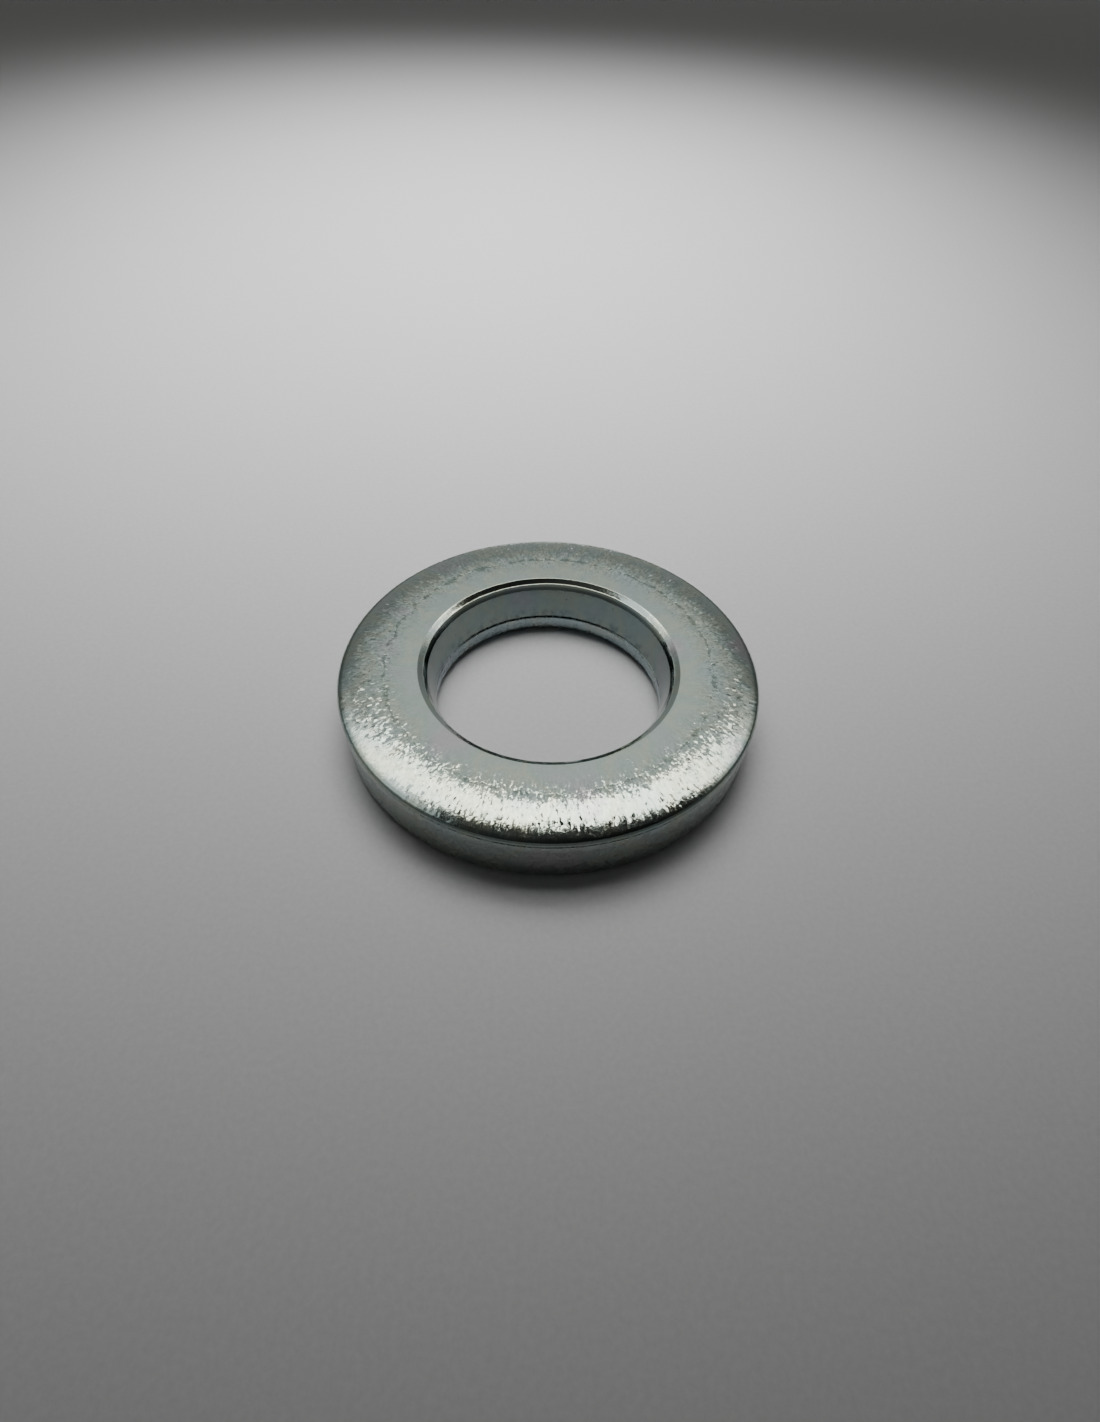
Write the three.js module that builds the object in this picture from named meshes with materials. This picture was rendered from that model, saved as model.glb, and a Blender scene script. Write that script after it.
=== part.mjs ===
// Thrust ball bearing for a 25.4 mm (1 inch) shaft, in pressed steel shells.
// It lies on its lower shell: origin at the centre of the bottom face, +Z up the shaft.
// Millimetres throughout.
import * as THREE from 'three';

// Driving dimensions.
const OUTER_R = 23.27;           // widest radius, at the edge of the top cap
const HEIGHT = 7.25;             // bottom face to top face
const BORE_R = 12.76;            // narrowest radius, at the foot of the cap's flange
const SHEET = 0.7;               // thickness of both pressed shells
const BALL_R = 3.969 / 2;        // 5/32 inch balls
const BALL_COUNT = 20;
const PITCH_R = 18.15;           // circle of the ball centres
const BALL_Z = HEIGHT / 2;       // balls sit half way up
const ROUND_STEPS = 60;          // facets round every turned piece

// Top cap: a flat ring, a long domed shoulder and a tapered flange down the bore.
const FLAT_INNER_R = 14.5;       // start of the rolled edge into the bore
const FLAT_OUTER_R = 18.24;      // start of the shoulder
const SHOULDER_R = 14.2;         // radius of the shoulder's dome
const EDGE_R = 0.55;             // rounding of the cap's outer edge
const CHAMFER_R = 13.88;         // foot of the rolled edge's upper slope
const CHAMFER_Z = 6.88;
const FLANGE_FOOT_Z = 2.62;
const FLANGE_TOP_Z = 6.27;
const FLANGE_TOP_R = 13.5;
const FLARE_R = 14.0;            // turned-out foot that keeps the bearing together

// Lower housing: a cup with a raised band round its rim and a lip round the bore.
const SEAM = 0.22;               // running gap between the cap and the housing
const BAND_R = 23.19;
const BAND_FOOT_Z = 4.76;
const WALL_R = 23.02;
const CORNER_R = 0.9;            // rounding between the wall and the bottom face
const LIP_R = 12.83;
const LIP_CORNER_R = 1.3;        // rounding between the lip and the bottom face

// Races and cage.
const RACE_GAP = 0.03;           // seating gap between a race and its shell
const BALL_GAP = 0.02;           // running gap between a ball and a race
const GROOVE_R = 2.12;           // groove radius, a little more than a ball's
const GROOVE_HALF_ANGLE = 38;    // degrees of groove each side of its lowest point
const RACE_INNER_R = 14.55;
const RACE_OUTER_R = 21.3;
const CAGE_INNER_R = 15.35;
const CAGE_OUTER_R = 20.95;
const CAGE_THICKNESS = 0.8;
const POCKET_R = 2.1;
const POCKET_STEPS = 12;

const radians = THREE.MathUtils.degToRad;
const point = (r, z) => new THREE.Vector2(r, z);

// Slope, in degrees, at which the dome has come close enough to OUTER_R for the edge rounding.
const shoulderReach = (OUTER_R - EDGE_R - FLAT_OUTER_R) / (SHOULDER_R - EDGE_R);
const SHOULDER_END = THREE.MathUtils.radToDeg(Math.asin(shoulderReach));

// Points on an arc in the section plane; angles are degrees from the outward radius.
function arc(centreR, centreZ, radius, fromDeg, toDeg, steps) {
  return Array.from({ length: steps + 1 }, (_, i) => {
    const angle = radians(fromDeg + ((toDeg - fromDeg) * i) / steps);
    return point(centreR + radius * Math.cos(angle), centreZ + radius * Math.sin(angle));
  });
}

// Turns a closed section round the shaft axis. Sections run anticlockwise.
function turned(section) {
  const geometry = new THREE.LatheGeometry([...section, section[0]], ROUND_STEPS);
  return geometry.rotateX(Math.PI / 2);
}

const zincPlate = new THREE.MeshStandardMaterial({ color: 0xb9bfbd, roughness: 0.32, metalness: 1 });
const raceSteel = new THREE.MeshStandardMaterial({ color: 0x8e9092, roughness: 0.25, metalness: 1 });
const cageSteel = new THREE.MeshStandardMaterial({ color: 0x9d9a92, roughness: 0.4, metalness: 1 });
const ballSteel = new THREE.MeshStandardMaterial({ color: 0xd8dadc, roughness: 0.08, metalness: 1 });

const group = new THREE.Group();

function add(parent, name, geometry, material) {
  const mesh = new THREE.Mesh(geometry, material);
  mesh.name = name;
  parent.add(mesh);
  return mesh;
}

// Lower housing: the fixed shell. Its bottom face is the seat of the whole bearing.
function housingSection() {
  const rimZ = capEdgeZ() - SEAM;
  return [
    ...arc(LIP_R + LIP_CORNER_R, LIP_CORNER_R, LIP_CORNER_R, 180, 270, 4),
    ...arc(WALL_R - CORNER_R, CORNER_R, CORNER_R, -90, 0, 4),
    point(WALL_R, BAND_FOOT_Z - 0.08),
    point(BAND_R, BAND_FOOT_Z),
    point(BAND_R, rimZ),
    point(WALL_R - SHEET, rimZ),
    point(WALL_R - SHEET, SHEET + 0.5),
    point(WALL_R - SHEET - 0.5, SHEET),
    point(LIP_R + SHEET + 0.5, SHEET),
    point(LIP_R + SHEET, SHEET + 0.5),
    point(LIP_R + SHEET, FLANGE_FOOT_Z - SEAM),
    point(LIP_R, FLANGE_FOOT_Z - SEAM),
  ];
}

// Height of the cap's outer edge, from the drop of the dome and of the edge rounding.
function capEdgeZ() {
  const slope = radians(SHOULDER_END);
  return HEIGHT - SHOULDER_R * (1 - Math.cos(slope)) - EDGE_R * Math.cos(slope);
}

// Top cap: the turning shell. The flange's foot is flared under the lower race's hook.
function capSection() {
  const domeZ = HEIGHT - SHOULDER_R;
  const slope = radians(SHOULDER_END);
  const edgeCentreR = FLAT_OUTER_R + (SHOULDER_R - EDGE_R) * Math.sin(slope);
  const edgeCentreZ = domeZ + (SHOULDER_R - EDGE_R) * Math.cos(slope);
  const underside = HEIGHT - SHEET;
  return [
    point(BORE_R, FLANGE_FOOT_Z),
    point(FLARE_R - 0.2, FLANGE_FOOT_Z),
    point(FLARE_R, FLANGE_FOOT_Z + 0.15),
    point(FLARE_R, FLANGE_FOOT_Z + 0.45),
    point(BORE_R + SHEET + 0.16, FLANGE_FOOT_Z + 0.6),
    point(FLANGE_TOP_R + SHEET - 0.05, underside - 0.4),
    point(FLANGE_TOP_R + SHEET + 0.35, underside),
    ...arc(FLAT_OUTER_R, domeZ, SHOULDER_R - SHEET, 90, 90 - SHOULDER_END + 2, 2),
    point(OUTER_R - 1.0, capEdgeZ()),
    ...arc(edgeCentreR, edgeCentreZ, EDGE_R, 0, 90 - SHOULDER_END - 24, 2),
    ...arc(FLAT_OUTER_R, domeZ, SHOULDER_R, 90 - SHOULDER_END, 90, 3),
    point(FLAT_INNER_R, HEIGHT),
    point(CHAMFER_R, CHAMFER_Z),
    point(FLANGE_TOP_R, FLANGE_TOP_Z),
  ];
}

// Lower race: hardened washer with a ball groove and an inward hook above the flare.
function lowerRaceSection() {
  const seatZ = SHEET + RACE_GAP;
  const grooveZ = BALL_Z - BALL_R - BALL_GAP + GROOVE_R;
  const grooveFrom = 270 - GROOVE_HALF_ANGLE;
  const landZ = grooveZ - GROOVE_R * Math.cos(radians(GROOVE_HALF_ANGLE));
  return [
    point(RACE_INNER_R, seatZ),
    point(RACE_OUTER_R, seatZ),
    point(RACE_OUTER_R + 0.35, seatZ + 0.35),
    point(RACE_OUTER_R + 0.35, landZ),
    ...arc(PITCH_R, grooveZ, GROOVE_R, 270 + GROOVE_HALF_ANGLE, grooveFrom, 6),
    point(RACE_INNER_R + 0.55, landZ),
    point(RACE_INNER_R + 0.3, FLANGE_FOOT_Z + 1.0),
    point(FLARE_R - 0.18, FLANGE_FOOT_Z + 1.0),
    point(FLARE_R - 0.18, FLANGE_FOOT_Z + 0.7),
    point(RACE_INNER_R - 0.25, FLANGE_FOOT_Z + 0.55),
    point(RACE_INNER_R - 0.25, seatZ + 0.45),
  ];
}

// Upper race: hardened washer under the cap, its outer top corner cut back below the dome.
function upperRaceSection() {
  const seatZ = HEIGHT - SHEET - RACE_GAP;
  const grooveZ = BALL_Z + BALL_R + BALL_GAP - GROOVE_R;
  const grooveFrom = 90 - GROOVE_HALF_ANGLE;
  const landZ = grooveZ + GROOVE_R * Math.cos(radians(GROOVE_HALF_ANGLE));
  return [
    point(RACE_INNER_R + 0.15, landZ),
    ...arc(PITCH_R, grooveZ, GROOVE_R, 90 + GROOVE_HALF_ANGLE, grooveFrom, 6),
    point(RACE_OUTER_R, landZ),
    point(RACE_OUTER_R, seatZ - 0.55),
    point(FLAT_OUTER_R, seatZ),
    point(RACE_INNER_R + 0.4, seatZ),
    point(RACE_INNER_R + 0.15, seatZ - 0.25),
  ];
}

// Ball cage: a flat ring with one round pocket for each ball.
function cageGeometry() {
  const outline = new THREE.Shape().absarc(0, 0, CAGE_OUTER_R, 0, 2 * Math.PI);
  const holes = [new THREE.Path().absarc(0, 0, CAGE_INNER_R, 0, 2 * Math.PI)];
  for (let i = 0; i < BALL_COUNT; i += 1) {
    const angle = (2 * Math.PI * i) / BALL_COUNT;
    const x = PITCH_R * Math.cos(angle);
    const y = PITCH_R * Math.sin(angle);
    const pocket = Array.from({ length: POCKET_STEPS }, (_, k) => {
      const turn = (2 * Math.PI * k) / POCKET_STEPS;
      return point(x + POCKET_R * Math.cos(turn), y + POCKET_R * Math.sin(turn));
    });
    holes.push(new THREE.Path(pocket));
  }
  outline.holes = holes;
  const settings = { depth: CAGE_THICKNESS, bevelEnabled: false, curveSegments: ROUND_STEPS / 2 };
  return new THREE.ExtrudeGeometry(outline, settings);
}

add(group, 'lower_housing', turned(housingSection()), zincPlate);
add(group, 'lower_race', turned(lowerRaceSection()), raceSteel);
add(group, 'top_cap', turned(capSection()), zincPlate);
add(group, 'upper_race', turned(upperRaceSection()), raceSteel);

const rollingSet = new THREE.Group();
rollingSet.position.z = BALL_Z;
group.add(rollingSet);
add(rollingSet, 'ball_cage', cageGeometry(), cageSteel).position.z = -CAGE_THICKNESS / 2;

for (let i = 0; i < BALL_COUNT; i += 1) {
  const angle = (2 * Math.PI * i) / BALL_COUNT;
  const name = `ball_${String(i + 1).padStart(2, '0')}`;
  const ball = add(rollingSet, name, new THREE.SphereGeometry(BALL_R, 12, 8), ballSteel);
  ball.position.set(PITCH_R * Math.cos(angle), PITCH_R * Math.sin(angle), 0);
  ball.rotation.z = angle;
}

export default group;
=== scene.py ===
import math

import bpy
import numpy as np
from mathutils import Matrix, Vector


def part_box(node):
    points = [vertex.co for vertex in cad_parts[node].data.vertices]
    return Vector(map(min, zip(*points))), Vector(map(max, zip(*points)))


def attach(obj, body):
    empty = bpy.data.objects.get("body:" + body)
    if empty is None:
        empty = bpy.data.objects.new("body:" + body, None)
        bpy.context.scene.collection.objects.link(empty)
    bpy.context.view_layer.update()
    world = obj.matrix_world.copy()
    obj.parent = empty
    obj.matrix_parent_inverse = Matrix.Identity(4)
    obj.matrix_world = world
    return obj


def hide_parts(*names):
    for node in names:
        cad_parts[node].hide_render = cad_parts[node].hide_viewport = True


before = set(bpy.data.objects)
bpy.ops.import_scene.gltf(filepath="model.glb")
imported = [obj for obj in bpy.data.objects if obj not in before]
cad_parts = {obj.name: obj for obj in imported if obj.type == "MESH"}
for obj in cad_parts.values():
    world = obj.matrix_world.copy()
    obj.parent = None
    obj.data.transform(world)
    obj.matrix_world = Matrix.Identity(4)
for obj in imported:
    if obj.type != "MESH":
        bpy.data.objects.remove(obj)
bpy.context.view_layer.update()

# ---------------------------------------------------------------------------------------
# Lower housing. The fixed shell: a cup pressed from thin steel sheet and zinc plated, with
# a low raised band round its rim, a rounded bottom corner and a short lip round the bore.
# The lower race is pressed on to its floor.

MM = 0.001                            # in metres
SHEET = 0.7 * MM                      # thickness of both pressed shells
RING_STEPS = 360                      # facets round a visible turned piece
PATH_RADIUS = 18.0 * MM               # the circle that a section is swept along
MEAN_RADIUS = 20                      # mm, where the plate's grains have their stated size
housing_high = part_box("lower_housing")[1]
wall_radius = housing_high.x - 0.17 * MM
lip_radius = 12.83 * MM
lip_height = 2.4 * MM
band_foot = 4.76 * MM


def arc(centre_r, centre_z, radius, from_deg, to_deg, steps):
    """Points on an arc in the section plane; angles are degrees from the outward radius."""
    angles = np.radians(np.linspace(from_deg, to_deg, steps + 1))
    return [(centre_r + radius * math.cos(a), centre_z + radius * math.sin(a), 0.0) for a in angles]


def rounded(corners, spacing):
    """A closed section outline. Each corner is (r, z, rounding radius); edges get a point every spacing."""
    points = []
    count = len(corners)
    for i, (r, z, radius) in enumerate(corners):
        here = Vector((r, z))
        before = (Vector(corners[i - 1][:2]) - here).normalized()
        after = (Vector(corners[(i + 1) % count][:2]) - here).normalized()
        if radius == 0.0:
            points.append(here)
            continue
        half = before.angle(after) / 2
        middle = here + (before + after).normalized() * (radius / math.sin(half))
        start = here + before * (radius / math.tan(half)) - middle
        turn = before.angle_signed(after)
        sweep = math.copysign(math.pi, turn) - turn
        steps = max(3, math.ceil(abs(sweep) / math.radians(12)))
        points += [middle + Matrix.Rotation(sweep * k / steps, 2) @ start for k in range(steps + 1)]
    outline = []
    for i, here in enumerate(points):
        gap = points[(i + 1) % len(points)] - here
        pieces = max(1, math.ceil(gap.length / spacing))
        outline += [here + gap * (k / pieces) for k in range(pieces)]
    return outline


def new_tree(name, sockets):
    """A Geometry Nodes tree with one geometry in, one out, and the named inputs."""
    tree = bpy.data.node_groups.new(name, "GeometryNodeTree")
    tree.interface.new_socket("Geometry", in_out="OUTPUT", socket_type="NodeSocketGeometry")
    tree.interface.new_socket("Geometry", in_out="INPUT", socket_type="NodeSocketGeometry")
    for label, kind in sockets:
        tree.interface.new_socket(label, in_out="INPUT", socket_type=f"NodeSocket{kind}")
    return tree


def add(tree, kind, settings=None, **inputs):
    """Adds a node. Settings are its properties; inputs are values, or the sockets that feed it."""
    made = tree.nodes.new(kind)
    for label, value in (settings or {}).items():
        setattr(made, label, value)
    for label, value in inputs.items():
        key = int(label[1:]) if label[1:].isdigit() else label.replace("_", " ")
        if isinstance(value, bpy.types.NodeSocket):
            tree.links.new(value, made.inputs[key])
        else:
            made.inputs[key].default_value = value
    return made


def maths(tree, operation, first, second=0.0, third=0.0):
    """One sum on numbers, any of which may be a socket."""
    return add(tree, "ShaderNodeMath", {"operation": operation}, i0=first, i1=second, i2=third).outputs[0]


def vectors(tree, operation, first, second=(0.0, 0.0, 0.0)):
    """One sum on vectors that gives a vector."""
    return add(tree, "ShaderNodeVectorMath", {"operation": operation}, i0=first, i1=second).outputs[0]


def scaled(tree, vector, amount):
    """A vector times a number."""
    return add(tree, "ShaderNodeVectorMath", {"operation": "SCALE"}, i0=vector, Scale=amount).outputs[0]


def finish_off(tree, result, material):
    """Ends a tree: makes its instances real and gives them their material."""
    real = add(tree, "GeometryNodeRealizeInstances", Geometry=result.outputs[0])
    coated = add(tree, "GeometryNodeSetMaterial", Geometry=real.outputs[0], Material=material)
    add(tree, "NodeGroupOutput", Geometry=coated.outputs[0])
    return tree


def turning_tree():
    """Turns a closed section line, drawn in the XZ plane, round the Z axis.
    The section's "wander" attribute says how far each point strays as it goes round."""
    tree = new_tree("turn_section", [
        ("Path radius", "Float"), ("Steps", "Int"), ("Wander scale", "Float"), ("Seed", "Float"),
        ("Finish", "Material"),
    ])
    given = tree.nodes.new("NodeGroupInput").outputs
    section = add(tree, "GeometryNodeMeshToCurve", Mesh=given["Geometry"]).outputs[0]
    back = maths(tree, "MULTIPLY", given["Path radius"], -1.0)
    shift = add(tree, "ShaderNodeCombineXYZ", X=back).outputs[0]
    placed = add(tree, "GeometryNodeTransform", Geometry=section, Translation=shift,
                 Rotation=(math.pi / 2, 0, 0))
    path = add(tree, "GeometryNodeCurvePrimitiveCircle", Resolution=given["Steps"],
               Radius=given["Path radius"])
    turned = add(tree, "GeometryNodeCurveToMesh", Curve=path.outputs[0], Profile_Curve=placed.outputs[0])
    outside = add(tree, "GeometryNodeFlipFaces", Mesh=turned.outputs[0])
    place = tree.nodes.new("GeometryNodeInputPosition").outputs[0]
    flat = vectors(tree, "MULTIPLY", place, (1, 1, 0))
    outward = vectors(tree, "NORMALIZE", flat)
    uneven = add(tree, "ShaderNodeTexNoise", {"noise_dimensions": "4D"}, Vector=outward, W=given["Seed"],
                 Scale=given["Wander scale"], Detail=3.0, Roughness=0.6).outputs["Color"]
    swing = vectors(tree, "SUBTRACT", uneven, (0.5, 0.5, 0.5))
    parts = add(tree, "ShaderNodeSeparateXYZ", Vector=swing).outputs
    radial = scaled(tree, outward, parts["X"])
    rise = add(tree, "ShaderNodeCombineXYZ", Z=parts["Y"]).outputs[0]
    stray = vectors(tree, "ADD", radial, rise)
    wander = add(tree, "GeometryNodeInputNamedAttribute", {"data_type": "FLOAT"}, Name="wander").outputs[0]
    offset = scaled(tree, stray, wander)
    moved = add(tree, "GeometryNodeSetPosition", Geometry=outside.outputs[0], Offset=offset)
    smooth = add(tree, "GeometryNodeSetShadeSmooth", Geometry=moved.outputs[0], Shade_Smooth=True)
    return finish_off(tree, smooth, given["Finish"])


def grown(name, seed_mesh, tree, **inputs):
    """Runs a Geometry Nodes tree on a mesh and keeps the result as a plain mesh object."""
    seed = bpy.data.objects.new(name + "_seed", seed_mesh)
    bpy.context.scene.collection.objects.link(seed)
    modifier = seed.modifiers.new("make", "NODES")
    modifier.node_group = tree
    for item in tree.interface.items_tree:
        if item.in_out == "INPUT" and item.name in inputs:
            modifier[item.identifier] = inputs[item.name]
    ready = seed.evaluated_get(bpy.context.evaluated_depsgraph_get())
    mesh = bpy.data.meshes.new_from_object(ready)
    bpy.data.objects.remove(seed)
    mesh.name = name
    piece = bpy.data.objects.new(name, mesh)
    bpy.context.scene.collection.objects.link(piece)
    return piece


TURN = turning_tree()


def turned_piece(name, corners, finish, spacing=0.35 * MM, steps=RING_STEPS, rough_edges=(), seed=0.0):
    """A piece turned from a section. rough_edges are (r, z, reach, wander) of sheared or burred edges."""
    outline = rounded(corners, spacing)
    count = len(outline)
    mesh = bpy.data.meshes.new(name + "_section")
    edges = [(i, (i + 1) % count) for i in range(count)]
    mesh.from_pydata([(p.x, 0.0, p.y) for p in outline], edges, [])
    wander = mesh.attributes.new("wander", "FLOAT", "POINT")
    for i, p in enumerate(outline):
        for r, z, reach, amount in rough_edges:
            near = max(0.0, 1 - math.hypot(p.x - r, p.y - z) / reach)
            wander.data[i].value += amount * near
    return grown(name, mesh, TURN, **{
        "Path radius": PATH_RADIUS, "Steps": steps, "Wander scale": 9.0, "Seed": seed, "Finish": finish,
    })


def noise(tree, place, scale, detail, roughness, output="Fac"):
    """Fractal noise over a place."""
    return add(tree, "ShaderNodeTexNoise", Vector=place, Scale=scale, Detail=detail,
               Roughness=roughness).outputs[output]


def metal(name, roughness):
    """A metal's shader. Returns its material, tree and shader, and the sockets for a point's place,
    radius, outward direction and height, all in millimetres."""
    material = bpy.data.materials.new(name)
    material.use_nodes = True
    tree = material.node_tree
    shader = tree.nodes["Principled BSDF"]
    shader.inputs["Metallic"].default_value = 1.0
    shader.inputs["Roughness"].default_value = roughness
    place = add(tree, "ShaderNodeTexCoord").outputs["Object"]
    millimetres = scaled(tree, place, 1 / MM)
    flat = vectors(tree, "MULTIPLY", millimetres, (1, 1, 0))
    at = {
        "place": millimetres,
        "radius": add(tree, "ShaderNodeVectorMath", {"operation": "LENGTH"}, i0=flat).outputs["Value"],
        "outward": vectors(tree, "NORMALIZE", flat),
        "rise": add(tree, "ShaderNodeSeparateXYZ", Vector=millimetres).outputs["Z"],
    }
    return material, tree, shader, at


def coat(tree, shader, colour, rough, height, depth, normal=None):
    """Gives a metal its colour and roughness, and a bump of this depth in metres."""
    bump = add(tree, "ShaderNodeBump", Height=height, Strength=1.0, Distance=depth)
    if normal is not None:
        tree.links.new(normal, bump.inputs["Normal"])
    tree.links.new(colour, shader.inputs["Base Color"])
    tree.links.new(rough, shader.inputs["Roughness"])
    tree.links.new(bump.outputs["Normal"], shader.inputs["Normal"])


def ring_noise(tree, at, round_scale, radial_scale, rise_scale, detail=2.0):
    """Noise that follows the ring: its own scales round the ring, along the radius and up the axis."""
    around = scaled(tree, at["outward"], round_scale)
    out = maths(tree, "MULTIPLY", at["radius"], radial_scale)
    up = maths(tree, "MULTIPLY_ADD", at["rise"], rise_scale, out)
    lift = add(tree, "ShaderNodeCombineXYZ", Z=up).outputs[0]
    where = vectors(tree, "ADD", around, lift)
    return noise(tree, where, 1.0, detail, 0.6)


def ramp(tree, fac, stops):
    """A colour ramp; stops are (position, colour)."""
    made = add(tree, "ShaderNodeValToRGB", Fac=fac)
    elements = made.color_ramp.elements
    while len(elements) < len(stops):
        elements.new(0.5)
    for element, (position, colour) in zip(elements, stops):
        element.position = position
        element.color = (*colour, 1.0)
    return made.outputs["Color"]


def span(tree, value, low, high, to_low=0.0, to_high=1.0):
    """Value mapped smoothly from low..high to to_low..to_high, and held at the ends."""
    return add(tree, "ShaderNodeMapRange", {"interpolation_type": "SMOOTHSTEP"}, Value=value, From_Min=low,
               From_Max=high, To_Min=to_low, To_Max=to_high).outputs["Result"]


def mixed(tree, blend, fac, first, second):
    """Two colours mixed; fac, and either colour, may be a value or a socket."""
    return add(tree, "ShaderNodeMix", {"data_type": "RGBA", "blend_type": blend}, i0=fac, i6=first,
               i7=second).outputs[2]


def leaning_grains(tree, at, across, along, lean):
    """Short grains that lie along the radius. Returns a normal in which most of them hardly lean and a
    few lean a lot, by up to about two thirds of lean, and a number from 0 to 1 for each grain. across
    and along are a grain's size in mm."""
    around = scaled(tree, at["outward"], MEAN_RADIUS / across)
    both = maths(tree, "MULTIPLY", maths(tree, "ADD", at["radius"], at["rise"]), 1 / along)
    lift = add(tree, "ShaderNodeCombineXYZ", Z=both).outputs[0]
    even = vectors(tree, "ADD", around, lift)
    wavy = noise(tree, at["place"], 1.8, 3.0, 0.7, "Color")
    where = vectors(tree, "ADD", even, scaled(tree, wavy, 2.5))
    cell = add(tree, "ShaderNodeTexVoronoi", Vector=where, Scale=1.0, Randomness=1.0).outputs["Color"]
    swing = vectors(tree, "SUBTRACT", cell, (0.5, 0.5, 0.5))
    size = add(tree, "ShaderNodeVectorMath", {"operation": "DOT_PRODUCT"}, i0=swing, i1=swing)
    few = maths(tree, "MULTIPLY", maths(tree, "POWER", size.outputs["Value"], 0.9), lean)
    square = add(tree, "ShaderNodeNewGeometry").outputs["Normal"]
    leaning = vectors(tree, "ADD", square, scaled(tree, swing, few))
    return leaning, add(tree, "ShaderNodeSeparateColor", Color=cell).outputs["Blue"]


def rubbed_line(tree, at, ring):
    """A broken line that wanders about a ring of this radius: 1 on the line and 0 off it."""
    slow = ring_noise(tree, at, 7.0, 0.0, 0.0)
    quick = ring_noise(tree, at, 60.0, 0.6, 0.0, 3.0)
    stray = maths(tree, "MULTIPLY_ADD", slow, 1.2, -ring - 0.75)
    off = maths(tree, "MULTIPLY_ADD", quick, 0.3, maths(tree, "ADD", at["radius"], stray))
    width = span(tree, ring_noise(tree, at, 11.0, 0.5, 0.0, 4.0), 0.42, 0.70, 0.02, 0.80)
    return span(tree, maths(tree, "DIVIDE", maths(tree, "ABSOLUTE", off), width), 0.2, 1.0, 1.0, 0.0)


def zinc_plate(name, shade, roughness, lean, flat_lean, bore_shade, wear_ring=None):
    """Bright zinc plate with a blue-white passivate: faint yellow, green and pink clouds, sparkling
    grains that lie along the radius, and small dark pits. The grains lean by flat_lean near the bore
    and by lean on the shoulder. bore_shade tints what faces the bore: on the cap it is a painted shade, and
    there the flange is also darker in streaks just above its foot.
    wear_ring is the radius in mm of a rubbed line, and brings a painted shade on the outer edge with it."""
    material, tree, shader, at = metal(name, roughness)
    clouds = noise(tree, at["place"], 0.15, 2.0, 0.45)
    tint = ramp(tree, clouds, [
        (0.30, (0.565, 0.665, 0.655)), (0.42, (0.60, 0.68, 0.64)), (0.49, (0.66, 0.70, 0.61)),
        (0.55, (0.595, 0.685, 0.635)), (0.62, (0.61, 0.665, 0.65)), (0.70, (0.67, 0.655, 0.66)),
    ])
    blotches = noise(tree, at["place"], 0.9, 5.0, 0.65)
    colour = mixed(tree, "MULTIPLY", 1.0, tint, (shade, shade, shade, 1.0))
    colour = mixed(tree, "MULTIPLY", span(tree, blotches, 0.35, 0.7), colour, (0.93, 0.94, 0.93, 1.0))
    cells = add(tree, "ShaderNodeTexVoronoi", Vector=at["place"], Scale=1.6, Randomness=1.0)
    spot = span(tree, cells.outputs["Distance"], 0.06, 0.16, 1.0, 0.0)
    chosen = add(tree, "ShaderNodeSeparateColor", Color=cells.outputs["Color"]).outputs["Red"]
    marks = maths(tree, "MULTIPLY", spot, span(tree, chosen, 0.06, 0.08, 1.0, 0.0))
    if wear_ring:
        marks = maths(tree, "MAXIMUM", marks, rubbed_line(tree, at, wear_ring))
        # Painted shade: the cap's rolled outer edge is darkened beyond a radius of about 22.5 mm.
        rolled = span(tree, at["radius"], 22.5, 22.85)
        colour = mixed(tree, "MULTIPLY", rolled, colour, (0.55, 0.57, 0.56, 1.0))
    rising = span(tree, at["radius"], 15.6, 18.4, flat_lean, lean)
    strength = maths(tree, "MULTIPLY", rising, span(tree, at["radius"], 20.9, 22.3, 1.0, 0.40))
    leaning, tone = leaning_grains(tree, at, 0.18, 0.32, strength)
    grainy = maths(tree, "MULTIPLY", span(tree, tone, 0.35, 0.75, 0.9, 0.0), strength)
    colour = mixed(tree, "MULTIPLY", grainy, colour, (0.45, 0.49, 0.47, 1.0))
    colour = mixed(tree, "MULTIPLY", maths(tree, "MULTIPLY", marks, 0.68), colour, (0.30, 0.34, 0.33, 1.0))
    # bore_shade multiplies the colour of what faces the bore and of the bore's rolled edge: on the cap this
    # is painted shade.
    inside = span(tree, at["radius"], 13.60, 13.84, 1.0, 0.0)
    colour = mixed(tree, "MULTIPLY", inside, colour, bore_shade)
    # Darker in streaks low on the flange, fading upwards from just above its foot.
    foot_streaks = span(tree, ring_noise(tree, at, 16.0, 0.0, 1.1, 4.0), 0.40, 0.66)
    low_on_flange = span(tree, at["rise"], 2.8, 4.2, 0.9, 0.1)
    foot_band = maths(tree, "MULTIPLY", span(tree, at["rise"], 2.56, 2.60), low_on_flange)
    streaked_foot = maths(tree, "MULTIPLY", maths(tree, "MULTIPLY", foot_streaks, inside), foot_band)
    colour = mixed(tree, "MULTIPLY", streaked_foot, colour, (0.55, 0.58, 0.62, 1.0))
    uneven = span(tree, blotches, 0.3, 0.7, roughness * 0.85, roughness * 1.2)
    rough = maths(tree, "MULTIPLY_ADD", marks, 0.10, uneven)
    sunk = maths(tree, "MULTIPLY_ADD", marks, -0.8, noise(tree, at["place"], 3.2, 2.0, 0.6))
    coat(tree, shader, colour, rough, sunk, lean * 2e-5, leaning)
    return material


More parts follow.
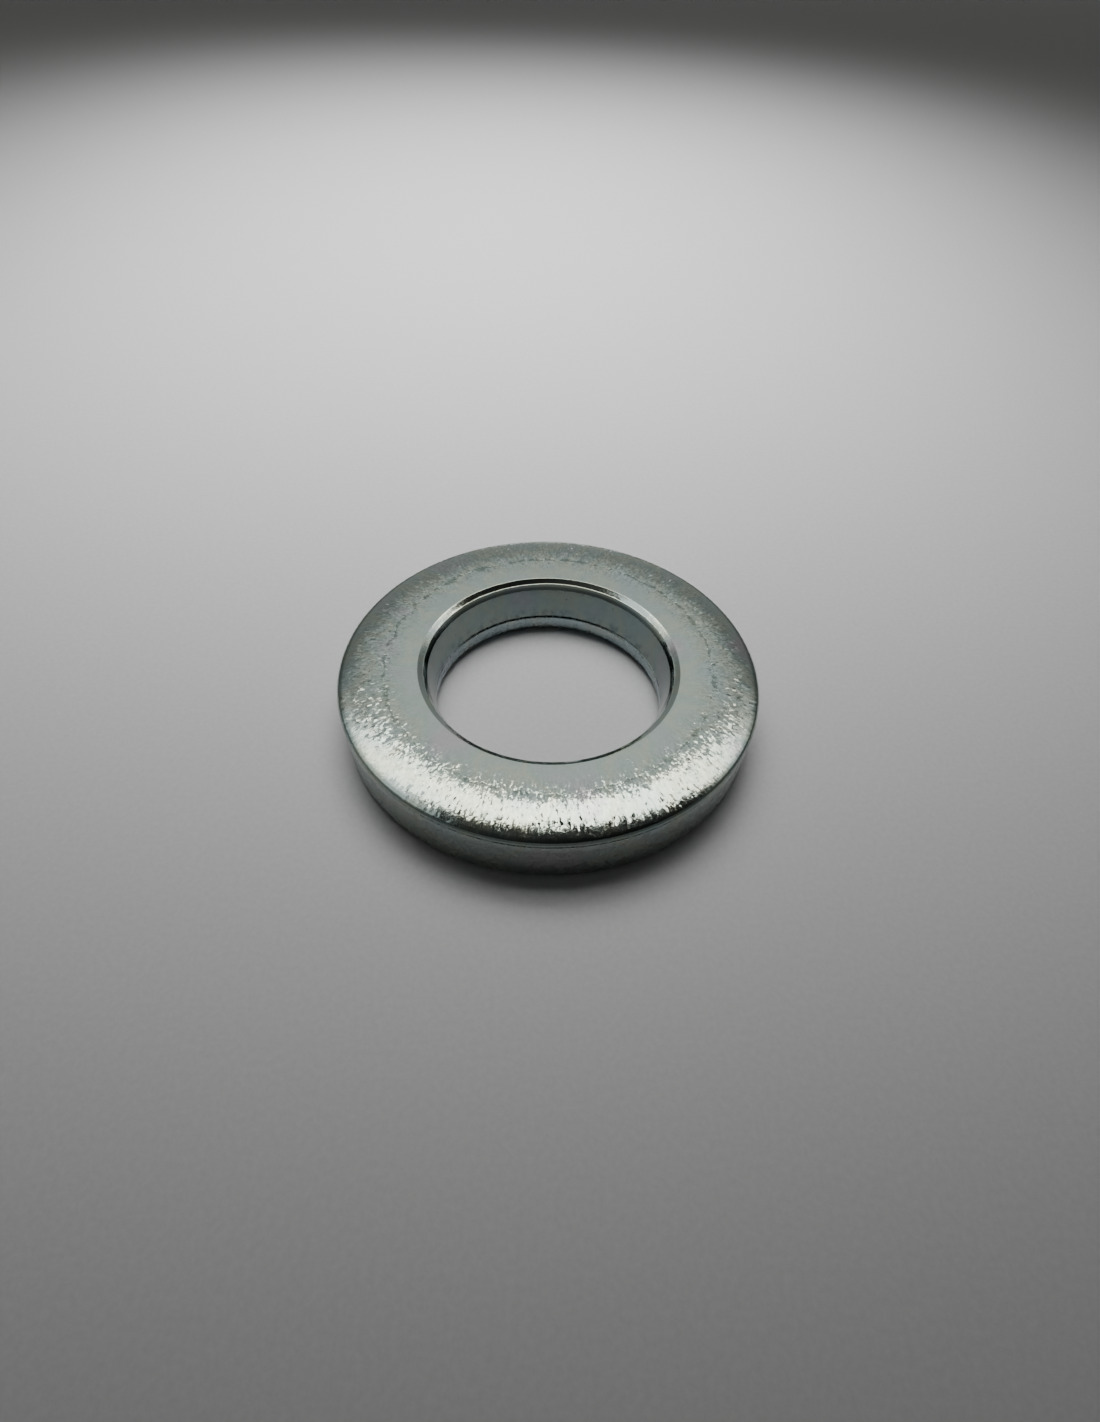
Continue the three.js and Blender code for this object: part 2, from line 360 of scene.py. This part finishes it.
housing_section = [
    (lip_radius, 0.0, 1.25 * MM),
    (wall_radius, 0.0, 0.85 * MM),
    (wall_radius, band_foot - 0.08 * MM, 0.05 * MM),
    (housing_high.x, band_foot, 0.08 * MM),
    (housing_high.x, housing_high.z, 0.16 * MM),
    (wall_radius - SHEET, housing_high.z, 0.1 * MM),
    (wall_radius - SHEET, SHEET, 0.3 * MM),
    (lip_radius + SHEET, SHEET, 0.4 * MM),
    (lip_radius + SHEET, lip_height, 0.15 * MM),
    (lip_radius, lip_height, 0.2 * MM),
]
# The housing's plate is rougher, and shade=0.58 darkens its colour: partly a duller plate, partly painted
# shade.
DULL_SHADED_PLATE = zinc_plate("zinc_plate_dull_shaded", shade=0.58, roughness=0.26, lean=0.07, flat_lean=0.07,
                        bore_shade=(0.92, 0.97, 1.06, 1.0))
housing = turned_piece("housing_shell", housing_section, DULL_SHADED_PLATE, seed=3.0,
                       rough_edges=[(lip_radius, lip_height, 0.3 * MM, 0.02 * MM)])
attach(housing, "housing")
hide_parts("lower_housing")

# ---------------------------------------------------------------------------------------
# Lower race. A hardened and ground washer with a shallow groove for the balls, pressed on to
# the housing's floor. Its inner hook catches the flare at the foot of the cap's flange.

BALL_GAP = 0.02 * MM                  # running gap between a ball and a race
GROOVE_RADIUS = 2.12 * MM
GROOVE_HALF = 38                      # degrees of groove each side of its lowest point
LOWER_BORE = 14.3 * MM
HOOK_BORE = 13.82 * MM                # the hook reaches in over the cap's flare
BALL_RADIUS = 3.969 * MM / 2
first_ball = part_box("ball_01")
pitch_radius = (first_ball[0].x + first_ball[1].x) / 2
ball_height = (first_ball[0].z + first_ball[1].z) / 2


def race_steel():
    """Ground steel: fine lines that run round the ring, under a thin film of grease."""
    material, tree, shader, at = metal("race_steel", 0.24)
    lines = ring_noise(tree, at, 1.5, 14.0, 14.0, 4.0)
    colour = ramp(tree, lines, [(0.3, (0.36, 0.36, 0.35)), (0.7, (0.52, 0.51, 0.50))])
    coat(tree, shader, colour, span(tree, lines, 0.3, 0.7, 0.2, 0.32), lines, 3e-6)
    return material


def groove(side):
    """The groove's arc in section: side is -1 under the balls and +1 over them."""
    centre = ball_height + side * (BALL_RADIUS + BALL_GAP - GROOVE_RADIUS)
    middle = 90 * side
    return arc(pitch_radius, centre, GROOVE_RADIUS, middle + GROOVE_HALF, middle - GROOVE_HALF, 16)


GROUND = race_steel()
low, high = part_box("lower_race")
groove_below = groove(-1)
land = groove_below[0][1]
lower_race_section = [
    (LOWER_BORE, low.z, 0.3 * MM),
    (high.x, low.z, 0.25 * MM),
    (high.x, land, 0.15 * MM),
    *groove_below,
    (15.1 * MM, land, 0.2 * MM),
    (14.85 * MM, high.z, 0.1 * MM),
    (HOOK_BORE, high.z, 0.08 * MM),
    (HOOK_BORE, high.z - 0.3 * MM, 0.08 * MM),
    (LOWER_BORE, high.z - 0.45 * MM, 0.1 * MM),
]
lower_race = turned_piece("race_washer_lower", lower_race_section, GROUND, spacing=0.5 * MM, steps=180)
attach(lower_race, "housing")
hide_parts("lower_race")

# ---------------------------------------------------------------------------------------
# Ball cage. A flat ring stamped from steel strip, with one round pocket for each ball. It
# floats on the balls half way up and goes round at half the cap's speed.

POCKET_RADIUS = 2.1 * MM
CAGE_INNER = 15.35 * MM
CAGE_OUTER = 20.95 * MM
BALL_COUNT = 20
cage_low, cage_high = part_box("ball_cage")


def stamped_ring_tree():
    """A flat ring with a circle of round pockets, raised to its thickness and closed underneath."""
    tree = new_tree("stamped_ring", [
        ("Inner radius", "Float"), ("Outer radius", "Float"), ("Pitch radius", "Float"),
        ("Pocket radius", "Float"), ("Pockets", "Int"), ("Foot height", "Float"), ("Thickness", "Float"),
        ("Finish", "Material"),
    ])
    given = tree.nodes.new("NodeGroupInput").outputs
    outer = add(tree, "GeometryNodeCurvePrimitiveCircle", Resolution=160, Radius=given["Outer radius"])
    inner = add(tree, "GeometryNodeCurvePrimitiveCircle", Resolution=120, Radius=given["Inner radius"])
    pocket = add(tree, "GeometryNodeCurvePrimitiveCircle", Resolution=40, Radius=given["Pocket radius"])
    stations = add(tree, "GeometryNodeMeshCircle", Vertices=given["Pockets"], Radius=given["Pitch radius"])
    pockets = add(tree, "GeometryNodeInstanceOnPoints", Points=stations.outputs[0],
                  Instance=pocket.outputs[0])
    cut = add(tree, "GeometryNodeRealizeInstances", Geometry=pockets.outputs[0])
    rims = tree.nodes.new("GeometryNodeJoinGeometry")
    for rim in (outer, inner, cut):
        tree.links.new(rim.outputs[0], rims.inputs[0])
    sheet = add(tree, "GeometryNodeFillCurve", Curve=rims.outputs[0])
    raised = add(tree, "GeometryNodeExtrudeMesh", Mesh=sheet.outputs[0], Offset=(0, 0, 1),
                 Offset_Scale=given["Thickness"], Individual=False)
    under = add(tree, "GeometryNodeFlipFaces", Mesh=sheet.outputs[0])
    both = tree.nodes.new("GeometryNodeJoinGeometry")
    tree.links.new(raised.outputs[0], both.inputs[0])
    tree.links.new(under.outputs[0], both.inputs[0])
    closed = add(tree, "GeometryNodeMergeByDistance", Geometry=both.outputs[0], Distance=1e-6)
    lift = add(tree, "ShaderNodeCombineXYZ", Z=given["Foot height"]).outputs[0]
    placed = add(tree, "GeometryNodeTransform", Geometry=closed.outputs[0], Translation=lift)
    return finish_off(tree, placed, given["Finish"])


def cage_steel():
    """Tumbled strip steel: dull, with soft mottling and a fine stamped grain."""
    material, tree, shader, at = metal("cage_steel", 0.4)
    mottle = noise(tree, at["place"], 0.7, 5.0, 0.6)
    colour = ramp(tree, mottle, [(0.3, (0.34, 0.33, 0.30)), (0.7, (0.50, 0.48, 0.44))])
    grit = noise(tree, at["place"], 9.0, 3.0, 0.6)
    coat(tree, shader, colour, span(tree, mottle, 0.3, 0.7, 0.34, 0.5), grit, 5e-6)
    return material


cage = grown("cage_ring", bpy.data.meshes.new("cage_start"), stamped_ring_tree(), **{
    "Inner radius": CAGE_INNER, "Outer radius": CAGE_OUTER, "Pitch radius": pitch_radius,
    "Pocket radius": POCKET_RADIUS, "Pockets": BALL_COUNT, "Foot height": cage_low.z,
    "Thickness": cage_high.z - cage_low.z, "Finish": cage_steel(),
})
broken_edges = cage.modifiers.new("broken_edges", "BEVEL")
broken_edges.width = 0.08 * MM
broken_edges.segments = 2
broken_edges.angle_limit = math.radians(40)
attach(cage, "cage")
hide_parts("ball_cage")

# ---------------------------------------------------------------------------------------
# Balls. Twenty polished chrome-steel balls, one loose in each pocket of the cage. Each
# rolls between the two grooves as the cap turns.


def ball_tree():
    """One round ball at its station on the pitch circle."""
    tree = new_tree("ball_at_station", [
        ("Ball radius", "Float"), ("Pitch radius", "Float"), ("Station angle", "Float"),
        ("Height", "Float"), ("Finish", "Material"),
    ])
    given = tree.nodes.new("NodeGroupInput").outputs
    ball = add(tree, "GeometryNodeMeshIcoSphere", Radius=given["Ball radius"], Subdivisions=5)
    across = maths(tree, "MULTIPLY", maths(tree, "COSINE", given["Station angle"]), given["Pitch radius"])
    along = maths(tree, "MULTIPLY", maths(tree, "SINE", given["Station angle"]), given["Pitch radius"])
    station = add(tree, "ShaderNodeCombineXYZ", X=across, Y=along, Z=given["Height"]).outputs[0]
    placed = add(tree, "GeometryNodeTransform", Geometry=ball.outputs[0], Translation=station)
    smooth = add(tree, "GeometryNodeSetShadeSmooth", Geometry=placed.outputs[0], Shade_Smooth=True)
    return finish_off(tree, smooth, given["Finish"])


def ball_steel():
    """Polished chrome steel, with a light smear of grease and faint rolling marks."""
    material, tree, shader, at = metal("ball_steel", 0.07)
    smear = noise(tree, at["place"], 0.8, 3.0, 0.55)
    colour = ramp(tree, smear, [(0.35, (0.58, 0.58, 0.57)), (0.7, (0.66, 0.66, 0.66))])
    marks = noise(tree, at["place"], 14.0, 2.0, 0.5)
    coat(tree, shader, colour, span(tree, smear, 0.35, 0.7, 0.05, 0.14), marks, 4e-7)
    return material


BALL = ball_tree()
POLISHED = ball_steel()
for number in range(1, BALL_COUNT + 1):
    node = f"ball_{number:02d}"
    low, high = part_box(node)
    ball = grown(f"steel_{node}", bpy.data.meshes.new("ball_start"), BALL, **{
        "Ball radius": BALL_RADIUS, "Pitch radius": pitch_radius, "Height": ball_height,
        "Station angle": math.atan2(low.y + high.y, low.x + high.x), "Finish": POLISHED,
    })
    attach(ball, f"{node}_body")
    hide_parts(node)

# ---------------------------------------------------------------------------------------
# Upper race. The same kind of ground washer as the lower one, facing down on to the balls.
# It is held up under the cap's flat ring, its outer top corner cut back below the dome.

UPPER_BORE = 14.7 * MM
FLAT_OUTER = 18.24 * MM               # where the cap's flat ring ends and its dome begins
low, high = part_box("upper_race")
groove_above = groove(1)
land = groove_above[0][1]
upper_race_section = [
    (UPPER_BORE, land, 0.15 * MM),
    *groove_above,
    (high.x, land, 0.15 * MM),
    (high.x, high.z - 0.55 * MM, 0.15 * MM),
    (FLAT_OUTER, high.z, 0.3 * MM),
    (UPPER_BORE, high.z, 0.3 * MM),
]
upper_race = turned_piece("race_washer_upper", upper_race_section, GROUND, spacing=0.5 * MM, steps=180)
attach(upper_race, "cap")
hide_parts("upper_race")

# ---------------------------------------------------------------------------------------
# Top cap. The turning shell, pressed from the same zinc-plated sheet: a flat ring, a long
# domed shoulder, a rounded outer edge, and a flange drawn down the bore. The flange's foot
# is flared under the lower race's hook, which keeps the bearing together.

BORE_RADIUS = 12.76 * MM
FLARE_RADIUS = 14.0 * MM
FLAT_INNER = 14.5 * MM
LEDGE_RADIUS = 13.88 * MM             # a fine ridge in the rolled edge of the bore
LEDGE_DROP = 0.375 * MM
DOME_RADIUS = 14.2 * MM
EDGE_RADIUS = 0.55 * MM
RUBBED_RING = 18.15                   # mm
cap_low, cap_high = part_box("top_cap")
height = cap_high.z
foot = cap_low.z
dome_centre = height - DOME_RADIUS
edge_r = cap_high.x - EDGE_RADIUS
dome_end = math.degrees(math.asin((edge_r - FLAT_OUTER) / (DOME_RADIUS - EDGE_RADIUS)))
edge_z = dome_centre + (DOME_RADIUS - EDGE_RADIUS) * math.cos(math.radians(dome_end))
cap_section = [
    (BORE_RADIUS, foot, 0.12 * MM),
    (FLARE_RADIUS, foot, 0.15 * MM),
    (FLARE_RADIUS, foot + 0.5 * MM, 0.15 * MM),
    (13.62 * MM, foot + 0.62 * MM, 0.1 * MM),
    (14.2 * MM, height - SHEET, 0.5 * MM),
    (FLAT_OUTER, height - SHEET, 0.0),
    *arc(FLAT_OUTER, dome_centre, DOME_RADIUS - SHEET, 88, 92 - dome_end, 8),
    (cap_high.x - 1.0 * MM, edge_z, 0.0),
    (cap_high.x - 0.06 * MM, edge_z, 0.0),
    *arc(edge_r, edge_z, EDGE_RADIUS, 4, 90 - dome_end, 12),
    *arc(FLAT_OUTER, dome_centre, DOME_RADIUS, 92 - dome_end, 90, 12),
    (FLAT_INNER, height, 0.08 * MM),
    (LEDGE_RADIUS + 0.02 * MM, height - LEDGE_DROP + 0.005 * MM, 0.012 * MM),
    (LEDGE_RADIUS - 0.015 * MM, height - LEDGE_DROP - 0.005 * MM, 0.012 * MM),
    (13.50 * MM, height - 0.98 * MM, 0.12 * MM),
]
# bore_shade here is a painted shade that darkens the cap's flange and the rolled edge of its bore.
BRIGHT_PLATE = zinc_plate("zinc_plate_bright", shade=1.0, roughness=0.11, lean=0.42, flat_lean=0.07,
                          bore_shade=(0.31, 0.335, 0.345, 1.0), wear_ring=RUBBED_RING)
cap = turned_piece("cap_shell", cap_section, BRIGHT_PLATE, spacing=0.3 * MM, seed=7.0, rough_edges=[
    (BORE_RADIUS, foot, 0.3 * MM, 0.20 * MM),
    (LEDGE_RADIUS, height - LEDGE_DROP, 0.10 * MM, 0.14 * MM),
    (cap_high.x - 0.1 * MM, edge_z, 0.6 * MM, 0.05 * MM),
])
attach(cap, "cap")
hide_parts("top_cap")

# ---------------------------------------------------------------------------------------
# Camera, table and light. A plain pale table under soft lights that only the table sees, and
# the room that the metal mirrors: grey walls, two windows, and a bright panel overhead.

CAMERA_PLACE = Vector((0.0, -64.7, 71.1)) * MM
PITCH_DOWN = math.radians(48.07)
HEADING = math.radians(0.247)
ROLL = math.radians(2.02)
forward = Vector((math.sin(HEADING) * math.cos(PITCH_DOWN), math.cos(HEADING) * math.cos(PITCH_DOWN),
                  -math.sin(PITCH_DOWN)))
level_right = forward.cross(Vector((0, 0, 1))).normalized()
level_up = level_right.cross(forward)
right = level_right * math.cos(ROLL) + level_up * math.sin(ROLL)
camera_up = level_up * math.cos(ROLL) - level_right * math.sin(ROLL)
camera_data = bpy.data.cameras.new("camera")
camera_data.sensor_width = 36.0
camera_data.lens = 20.76
camera_data.clip_start = 0.001
camera = bpy.data.objects.new("camera", camera_data)
turn = Matrix((right, camera_up, -forward)).transposed().to_4x4()
camera.matrix_world = Matrix.Translation(CAMERA_PLACE) @ turn
bpy.context.scene.collection.objects.link(camera)
bpy.context.scene.camera = camera


def table_top():
    """Pale satin laminate with a very fine grain. It is clear from underneath, and where the bearing
    covers it, so that the bearing's underside can be seen from below."""
    material = bpy.data.materials.new("table_top")
    material.use_nodes = True
    tree = material.node_tree
    shader = tree.nodes["Principled BSDF"]
    place = add(tree, "ShaderNodeTexCoord").outputs["Object"]
    grain = noise(tree, place, 1800.0, 4.0, 0.6)
    colour = ramp(tree, grain, [(0.3, (0.70, 0.70, 0.705)), (0.7, (0.76, 0.76, 0.765))])
    tree.links.new(colour, shader.inputs["Base Color"])
    shader.inputs["Roughness"].default_value = 0.55
    shader.inputs["Specular IOR Level"].default_value = 0.2
    bump = add(tree, "ShaderNodeBump", Height=grain, Strength=1.0, Distance=1.5e-5).outputs["Normal"]
    tree.links.new(bump, shader.inputs["Normal"])
    from_middle = add(tree, "ShaderNodeVectorMath", {"operation": "LENGTH"}, i0=place).outputs["Value"]
    covered = maths(tree, "COMPARE", from_middle, 18.1 * MM, 2.9 * MM)
    below = add(tree, "ShaderNodeNewGeometry").outputs["Backfacing"]
    clear = add(tree, "ShaderNodeBsdfTransparent").outputs[0]
    top = add(tree, "ShaderNodeMixShader", i0=maths(tree, "MAXIMUM", below, covered), i1=shader.outputs[0],
              i2=clear).outputs[0]
    tree.links.new(top, tree.nodes["Material Output"].inputs["Surface"])
    return material


TABLE_REACH = 0.9
TABLE_DROP = 0.02 * MM                # keeps the table's face off the housing's
table_mesh = bpy.data.meshes.new("table")
corners = [(TABLE_REACH * x, TABLE_REACH * y, -TABLE_DROP) for x, y in ((-1, -1), (1, -1), (1, 1), (-1, 1))]
table_mesh.from_pydata(corners, [], [(0, 1, 2, 3)])
table_mesh.materials.append(table_top())
table = bpy.data.objects.new("table", table_mesh)
bpy.context.scene.collection.objects.link(table)


def soft_light(name, place, aim, width, depth, radiance, spread):
    """A rectangular soft light of this brightness that faces its aim. The metal doesn't mirror it."""
    data = bpy.data.lights.new(name, "AREA")
    data.shape = "RECTANGLE"
    data.size = width
    data.size_y = depth
    data.energy = radiance * math.pi * width * depth
    data.spread = math.radians(spread)
    lamp = bpy.data.objects.new(name, data)
    facing = (Vector(aim) - Vector(place)).to_track_quat("-Z", "Y").to_matrix().to_4x4()
    lamp.matrix_world = Matrix.Translation(place) @ facing
    lamp.visible_glossy = False
    bpy.context.scene.collection.objects.link(lamp)


soft_light("table_light_high", (-0.02, 0.16, 0.25), (-0.02, 0.16, 0), 0.20, 0.30, 0.65, 60)
soft_light("table_light_low", (-0.02, 0.16, 0.20), (-0.02, 0.16, 0), 0.20, 0.20, 2.2, 100)
soft_light("table_fill", (0, 0, 0.50), (0, 0, 0), 1.0, 1.0, 0.06, 180)
for x, y, width, depth in (
    (0, -0.80, 3.0, 0.8), (0, 1.10, 3.0, 0.9), (-1.0, 0.1, 1.0, 2.0), (1.0, 0.1, 1.0, 2.0),
):
    soft_light("table_wash", (x, y, 0.5), (x, y, 0), width, depth, 0.035, 60)

world = bpy.data.worlds.new("room")
world.use_nodes = True
world.cycles_visibility.diffuse = False
bpy.context.scene.world = world
sky = world.node_tree
look = add(sky, "ShaderNodeTexCoord").outputs["Generated"]
side = add(sky, "ShaderNodeSeparateXYZ", Vector=look).outputs
heading = maths(sky, "MULTIPLY_ADD", maths(sky, "ARCTAN2", side["X"], side["Y"]), 0.5 / math.pi, 0.5)


def wall_tones(stops):
    """Brightness round the room; stops are (degrees clockwise from straight ahead, brightness)."""
    return ramp(sky, heading, [(0.5 + way / 360, (0.96 * tone, tone, 0.985 * tone)) for way, tone in stops])


low_wall = wall_tones([
    (-180, 0.16), (-130, 0.15), (-105, 0.24), (-88, 0.32), (-48, 0.14), (0, 0.32), (45, 0.13), (75, 0.19),
    (100, 0.12), (180, 0.16),
])
high_wall = wall_tones([
    (-180, 0.022), (-135, 0.035), (-120, 0.10), (-105, 0.55), (-90, 1.2), (-62, 1.2), (-45, 0.42),
    (-15, 0.60), (0, 0.60), (15, 0.62), (38, 0.45), (50, 1.1), (62, 1.3), (76, 0.45), (90, 0.03),
    (104, 0.012), (140, 0.012), (180, 0.022),
])
walls = mixed(sky, "MIX", span(sky, side["Z"], 0.42, 0.72), low_wall, high_wall)
to_right = span(sky, side["X"], -0.5, 0.3)
ceiling = ramp(sky, to_right, [(0.0, (0.050, 0.052, 0.050)), (1.0, (0.011, 0.011, 0.011))])
cornice = maths(sky, "MULTIPLY_ADD", maths(sky, "MAXIMUM", side["X"], 0.0), 0.2, side["Z"])
room = mixed(sky, "MIX", span(sky, cornice, 0.86, 0.93), walls, ceiling)

# The panel's place overhead is told by how far ahead and across a ray goes for each metre it rises.
rise = maths(sky, "MAXIMUM", side["Z"], 0.05)
across = maths(sky, "ABSOLUTE", maths(sky, "DIVIDE", side["X"], rise))
ahead = maths(sky, "DIVIDE", side["Y"], rise)
near_edge = span(sky, ahead, 0.11, 0.17)
far_edge = span(sky, maths(sky, "MULTIPLY_ADD", across, -0.15, ahead), 0.50, 0.62, 1.0, 0.0)
near_corners = span(sky, maths(sky, "MULTIPLY_ADD", across, -0.45, ahead), -0.02, 0.04)
sides_edge = span(sky, across, 0.72, 0.98, 1.0, 0.0)
panel = maths(sky, "MULTIPLY", maths(sky, "MULTIPLY", near_edge, far_edge),
              maths(sky, "MULTIPLY", near_corners, sides_edge))
glare = scaled(sky, (1.0, 0.975, 0.87), maths(sky, "MULTIPLY_ADD", across, -2.9, 4.8))
tone = mixed(sky, "MIX", panel, room, glare)
backdrop = add(sky, "ShaderNodeLightPath").outputs["Is Camera Ray"]
tone = mixed(sky, "MIX", backdrop, tone, (0.60, 0.60, 0.61, 1.0))
sky.links.new(tone, sky.nodes["Background"].inputs["Color"])
